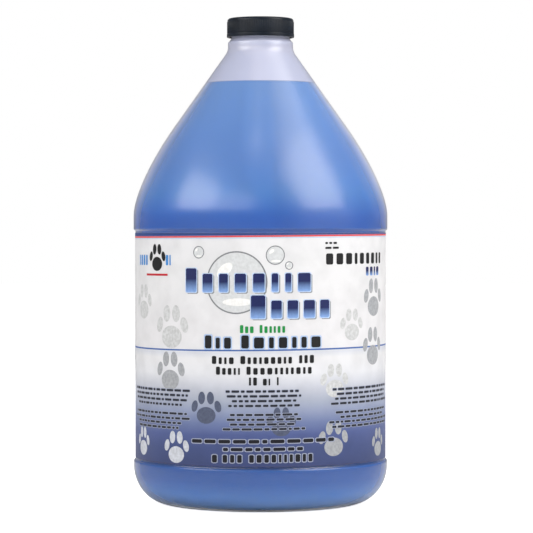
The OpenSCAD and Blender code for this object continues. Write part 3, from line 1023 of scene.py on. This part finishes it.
# %% Small print, foot lines and their halo
chance = random.Random(7)
small = []
for left, right in ((-22.4, 26.6), (-101.8, -42.0), (41.5, 105.6), (-182, -124), (124, 182)):
    for top in (72.0, 58.6):
        for i in range(4):
            inset = chance.uniform(0, (right - left) * 0.14)
            small += text_line(chance, left + inset, right - inset, top - 1.5 - 2.75 * i, 1.3)
foot = (text_line(chance, -41.5, 45.0, 41.4, 2.1) + text_line(chance, -21.8, 24.8, 37.0, 1.9)
        + word(chance, -28.5, -24.0, 30.4, 34.8, 1) + word(chance, -22.0, -9.0, 30.4, 34.8, 3)
        + word(chance, -6.5, 32.2, 30.4, 34.8, 10))
print_shapes("print_small", small, ink("small print ink", "#1E222D"), layer=2)
print_shapes("print_foot_lines", foot, ink("blue-black ink", "#080A16"), layer=2)
print_shapes("print_halo", larger(foot, 0.5) + larger(small, 0.3),
             ink("pale halo ink", "#9AA1B8"), layer=1)

# %% [markdown]
# Paw prints in four greys are scattered all round, pale above and stronger below, and a few soap
# bubbles float behind the heading. A bubble is a disc, two highlights and a thin line.

# %% Paw prints: the grey of each ink, and the place and size of each print
PAWS = {
    "pale grey ink": ("#C4C6C9", (
        (-86.4, 120.8, 22), (-57.0, 106.4, 27), (59.0, 107.0, 20), (45.7, 75.0, 21),
        (-130, 118, 26), (-165, 135, 20), (168, 138, 20), (120, 90, 20))),
    "mid grey ink": ("#9FA2A8", (
        (81.4, 122.0, 24), (-58.1, 81.0, 24), (80.4, 93.5, 24), (130, 120, 26), (-118, 88, 20),
        (45.0, 41.5, 22), (88.0, 37.0, 18), (150, 38, 20))),
    "slate ink": ("#4E566E", ((-32.3, 60.5, 20), (12.0, 52.5, 18))),
    "silver grey ink": ("#C2C6D0", ((-53.2, 37.2, 20), (-87.2, 39.0, 18), (-150, 38, 20))),
}
for name, (shade, places) in PAWS.items():
    print_shapes("print_paws_" + name.split()[0], sum([paw(*place) for place in places], []),
                 ink(name, shade, patchy=0.16))

# %% Soap bubbles: the place and radius of each
BUBBLES = ((-14.0, 133.5, 18.0), (8.5, 149.0, 5.5), (-37.0, 151.0, 3.6), (16.5, 143.0, 2.4))
print_shapes("print_bubble_fill", [oval(s, z, r, r, count=48) for s, z, r in BUBBLES],
             ink("bubble grey ink", "#CDD0D4"))
shines = [oval(s - 0.38 * r, z + 0.40 * r, 0.26 * r, 0.20 * r, 0.5) for s, z, r in BUBBLES]
shines += [oval(s + 0.05 * r, z - 0.62 * r, 0.5 * r, 0.12 * r) for s, z, r in BUBBLES]
print_shapes("print_bubble_shine", shines, ink("white ink", "#E9EAEB"), layer=1)
print_shapes("print_bubble_line", sum([ring(s, z, r, 0.45 + 0.02 * r) for s, z, r in BUBBLES], []),
             ink("line grey ink", "#7B7E84"), layer=1)

# %% [markdown]
# A label of this kind carries a small badge in each upper corner. Their places hold a plain paw
# print between bars on the left, and a short blocked-out heading on the right.

# %% Badges either side of the heading
LEFT_BARS = ((21, -93.0, -79.5, 143.5, 149.5, 4, 1.0), (22, -61.5, -56.4, 143.5, 149.5, 2, 1.0))
print_shapes("print_left_badge", paw(-70.0, 147.0, 17), black, layer=2)
print_shapes("print_left_badge_bars", words(LEFT_BARS), ink("clear blue ink", "#3E86CC"), layer=2)
print_shapes("print_left_badge_line", [bar(-82.0, -60.0, 137.4, 138.6)],
             ink("signal red ink", "#B8202F"), layer=2)
print_shapes("print_right_badge", words(((23, 39.5, 94.0, 143.2, 149.6, 9, 1.0),)), black, layer=2)
print_shapes("print_right_badge_bars", words(((24, 72.0, 90.0, 136.2, 141.4, 4, 1.0),)),
             shaded_blue, layer=2)
print_shapes("print_right_badge_words", text_line(chance, 39.0, 47.0, 155.0, 1.2)
             + text_line(chance, 39.0, 50.0, 152.2, 1.2), black, layer=2)

# %% [markdown]
# ## Stage, light and camera
#
# A pale floor and a white surround stand for a product studio. A curved backdrop would do too,
# but a flat floor under a white world is simpler and looks the same from every side. The floor
# shines a little to the camera only, so that it meets the surround without a line.

# %% Floor and surround
FLOOR_HALF = 6
FLOOR_GLOW = 0.85
SURROUND_SEEN, SURROUND_SHED = 1.0, 0.27


def studio_floor():
    """White paint, matt: it shows only the soft contact shadow."""
    corners = [(-FLOOR_HALF, -FLOOR_HALF, 0), (FLOOR_HALF, -FLOOR_HALF, 0),
               (FLOOR_HALF, FLOOR_HALF, 0), (-FLOOR_HALF, FLOOR_HALF, 0)]
    floor = new_piece("studio_floor", corners, [(0, 1, 2, 3)])
    material, tree = new_material("white studio floor")
    path = add(tree, "ShaderNodeLightPath")
    lit = add(tree, "ShaderNodeMapRange", {
        "Value": path.outputs["Is Camera Ray"], "To Max": FLOOR_GLOW})
    paint = add(tree, "ShaderNodeBsdfPrincipled", {
        "Base Color": (0.8, 0.8, 0.8, 1), "Roughness": 0.9, "Specular IOR Level": 0.1,
        "Emission Color": (1, 1, 1, 1), "Emission Strength": lit})
    add(tree, "ShaderNodeOutputMaterial", {"Surface": paint})
    floor.data.materials.append(material)


def white_surround():
    """A world that the camera sees as white, and that sheds less light than it shows."""
    world = bpy.data.worlds.new("studio")
    bpy.context.scene.world = world
    world.use_nodes = True
    tree = world.node_tree
    tree.nodes.clear()
    path = add(tree, "ShaderNodeLightPath")
    strength = add(tree, "ShaderNodeMapRange", {
        "Value": path.outputs["Is Camera Ray"], "To Min": SURROUND_SHED, "To Max": SURROUND_SEEN})
    light = add(tree, "ShaderNodeBackground", {"Color": (1, 1, 1, 1), "Strength": strength})
    add(tree, "ShaderNodeOutputWorld", {"Surface": light})


studio_floor()
white_surround()
print("floor:", 2 * FLOOR_HALF, "m square")

# %% [markdown]
# Soft boxes to the left and right give the two broad reflections on the shoulder. Their lower
# edges sit well above the bottle's middle, so the reflections end in a clean edge and the
# upright label shows none. Weak fills soften the shadows, and the last two lamps stand for light
# bounced from the room, which is too even to show as a reflection.

# %% Soft boxes, placed by their bearing from the camera's side and their height in degrees
LAMP_WHITE = (1.0, 0.975, 0.93)
LAMP_AWAY, LAMP_CENTRE = 1.2, Vector((0, 0, 0.18))
LAMPS = (  # name, bearing, height, width, tallness, brightness, whether it shows as a reflection
    ("right soft box", 60, 37, 40, 43, 4.6, True), ("right low fill", 62, 5, 56, 16, 0.8, True),
    ("right high fill", 70, 66, 34, 14, 1.5, True), ("left soft box", -64, 27, 34, 27, 4.5, True),
    ("left fill", -28, 25, 40, 22, 2.1, True), ("small lamp", -8, 64, 4, 4, 16.0, True),
    ("bounce", 0, 35, 80, 60, 0.28, False), ("back bounce", 180, 35, 90, 60, 1.1, False))


def soft_box(name, bearing, height, wide, tall, glow, reflected):
    """A soft box. wide and tall are the angles that it fills, and glow is its brightness."""
    light = bpy.data.lights.new(name, "AREA")
    light.shape = "RECTANGLE"
    light.size = 2 * LAMP_AWAY * math.tan(math.radians(wide) / 2)
    light.size_y = 2 * LAMP_AWAY * math.tan(math.radians(tall) / 2)
    light.energy = glow * math.pi * light.size * light.size_y
    light.color = LAMP_WHITE
    lamp = bpy.data.objects.new(name, light)
    bpy.context.scene.collection.objects.link(lamp)
    b, h = math.radians(bearing), math.radians(height)
    way = Vector((math.sin(b) * math.cos(h), -math.cos(b) * math.cos(h), math.sin(h)))
    lamp.location = LAMP_CENTRE + way * LAMP_AWAY
    lamp.rotation_euler = way.to_track_quat("Z", "Y").to_euler()
    lamp.visible_glossy = reflected


for lamp_row in LAMPS:
    soft_box(*lamp_row)
print("lamps:", len(LAMPS))

# %% [markdown]
# The eye is level with the shoulder, and a long lens 1.56 m away keeps the sides nearly upright.
# The lens is worked out from how wide a strip it should see at the bottle.

# %% Camera
EYE = Vector((0, -1.56, 0.1646))
AIM = Vector((0.0036, 0, 0.1415))
SEEN_WIDTH, SENSOR_MM = 0.3198, 36
camera_data = bpy.data.cameras.new("camera")
camera_data.sensor_width = SENSOR_MM
camera_data.lens = SENSOR_MM * (AIM - EYE).length / SEEN_WIDTH
camera = bpy.data.objects.new("camera", camera_data)
bpy.context.scene.collection.objects.link(camera)
camera.location = EYE
camera.rotation_euler = (EYE - AIM).to_track_quat("Z", "Y").to_euler()
bpy.context.scene.camera = camera
bpy.context.scene.view_settings.view_transform = "Standard"
print(f"lens: {camera_data.lens:.0f} mm")
